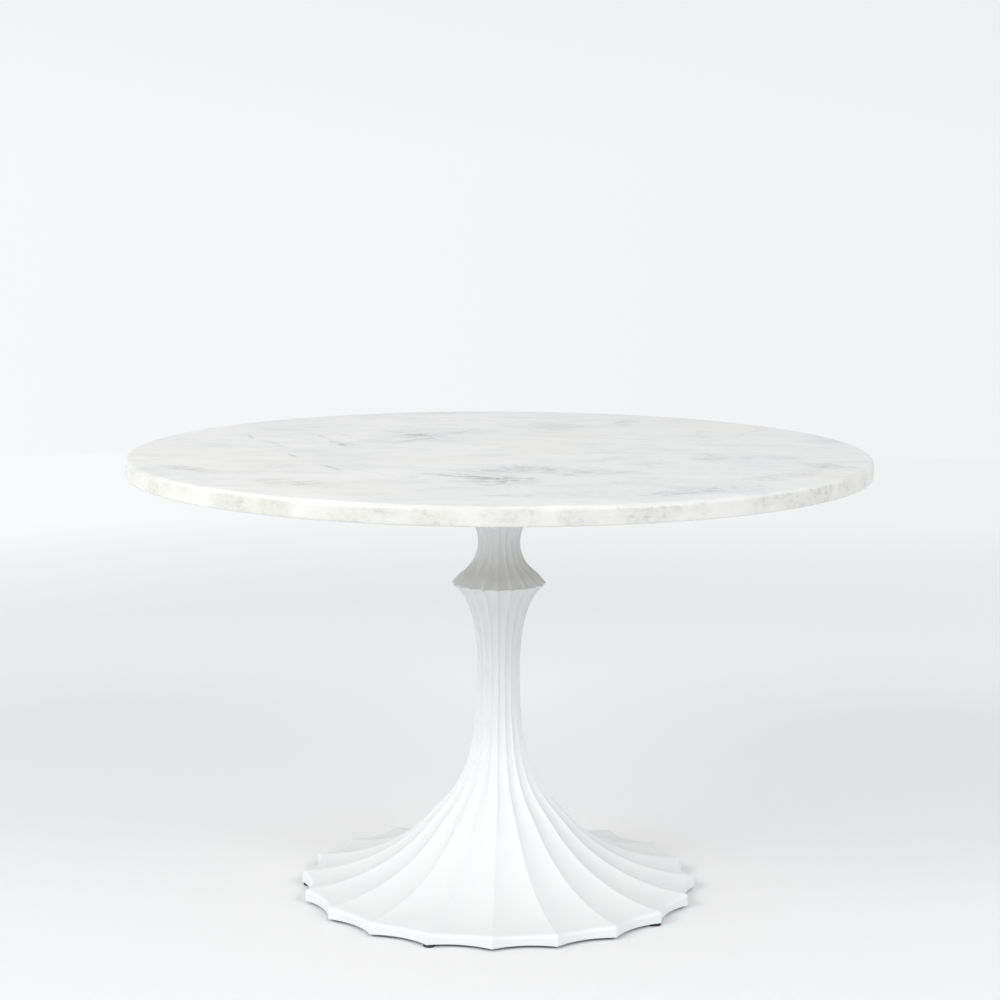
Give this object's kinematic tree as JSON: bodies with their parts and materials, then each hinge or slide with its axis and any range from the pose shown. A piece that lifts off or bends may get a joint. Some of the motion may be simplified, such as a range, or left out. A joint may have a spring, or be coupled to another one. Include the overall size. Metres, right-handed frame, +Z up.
{
  "type": "round pedestal table",
  "caption": "Round dining table: a marble slab on a white fluted pedestal that flares to a scalloped foot, with a knop where its two castings meet and levelling glides under the rim.",
  "frame": {"origin": "the point of the floor below the pedestal's axis", "axes": "+Z up along the pedestal's axis; -Y towards one ridge of the flutes, at the front; +X to the right seen from the front"},
  "size_m": [1.2192, 1.2192, 0.745],
  "materials": {
    "marble": "honed white marble with soft grey streaks",
    "plywood": "sanded birch plywood, clear sealed",
    "black_steel": "black powder coat on steel plate",
    "white_coating": "cast aluminium with a matte white powder coat of fine texture",
    "zinc_steel": "zinc plated steel",
    "brass": "plain turned brass",
    "nylon": "dark brown moulded nylon"
  },
  "bodies": {
    "table": {"marble_top": "marble", "backing_board": "plywood", "mounting_plate": "black_steel", "neck_casting": "white_coating", "base_casting": "white_coating", "tie_rod": "zinc_steel", "upper_washer": "zinc_steel", "upper_nut": "zinc_steel", "clamp_plate": "zinc_steel", "lower_washer": "zinc_steel", "lower_nut": "zinc_steel", "plate_screw_1": "zinc_steel", "plate_screw_2": "zinc_steel", "plate_screw_3": "zinc_steel", "plate_screw_4": "zinc_steel", "plate_screw_5": "zinc_steel", "plate_screw_6": "zinc_steel", "board_insert_1": "brass", "board_insert_2": "brass", "board_insert_3": "brass", "board_insert_4": "brass", "board_insert_5": "brass", "board_insert_6": "brass", "seam_dowel_1": "zinc_steel", "seam_dowel_2": "zinc_steel", "plate_dowel_1": "zinc_steel", "plate_dowel_2": "zinc_steel"},
    "pad_1": {"glide_pad_1": "nylon"},
    "stud_1": {"glide_stud_1": "zinc_steel"},
    "pad_2": {"glide_pad_2": "nylon"},
    "stud_2": {"glide_stud_2": "zinc_steel"},
    "pad_3": {"glide_pad_3": "nylon"},
    "stud_3": {"glide_stud_3": "zinc_steel"},
    "pad_4": {"glide_pad_4": "nylon"},
    "stud_4": {"glide_stud_4": "zinc_steel"},
    "pad_5": {"glide_pad_5": "nylon"},
    "stud_5": {"glide_stud_5": "zinc_steel"}
  },
  "joints": [
    {"name": "glide_1_lift", "type": "slide", "parent": "table", "child": "pad_1", "axis": [0, 0, -1], "range_m": [0, 0.008]},
    {"name": "glide_1_screw", "type": "hinge", "parent": "pad_1", "child": "stud_1", "pos_m": [-0.09919, -0.30529, 0], "axis": [0, 0, -1], "range_deg": [0, 2300]},
    {"name": "glide_2_lift", "type": "slide", "parent": "table", "child": "pad_2", "axis": [0, 0, -1], "range_m": [0, 0.008]},
    {"name": "glide_2_screw", "type": "hinge", "parent": "pad_2", "child": "stud_2", "pos_m": [0.25969, -0.18868, 0], "axis": [0, 0, -1], "range_deg": [0, 2300]},
    {"name": "glide_3_lift", "type": "slide", "parent": "table", "child": "pad_3", "axis": [0, 0, -1], "range_m": [0, 0.008]},
    {"name": "glide_3_screw", "type": "hinge", "parent": "pad_3", "child": "stud_3", "pos_m": [0.25969, 0.18868, 0], "axis": [0, 0, -1], "range_deg": [0, 2300]},
    {"name": "glide_4_lift", "type": "slide", "parent": "table", "child": "pad_4", "axis": [0, 0, -1], "range_m": [0, 0.008]},
    {"name": "glide_4_screw", "type": "hinge", "parent": "pad_4", "child": "stud_4", "pos_m": [-0.09919, 0.30529, 0], "axis": [0, 0, -1], "range_deg": [0, 2300]},
    {"name": "glide_5_lift", "type": "slide", "parent": "table", "child": "pad_5", "axis": [0, 0, -1], "range_m": [0, 0.008]},
    {"name": "glide_5_screw", "type": "hinge", "parent": "pad_5", "child": "stud_5", "pos_m": [-0.321, 0, 0], "axis": [0, 0, -1], "range_deg": [0, 2300]}
  ],
  "couplings": [
    {"joint": "glide_1_lift", "follows": "glide_1_screw", "m_per_rad": 0.00019894},
    {"joint": "glide_2_lift", "follows": "glide_2_screw", "m_per_rad": 0.00019894},
    {"joint": "glide_3_lift", "follows": "glide_3_screw", "m_per_rad": 0.00019894},
    {"joint": "glide_4_lift", "follows": "glide_4_screw", "m_per_rad": 0.00019894},
    {"joint": "glide_5_lift", "follows": "glide_5_screw", "m_per_rad": 0.00019894}
  ]
}
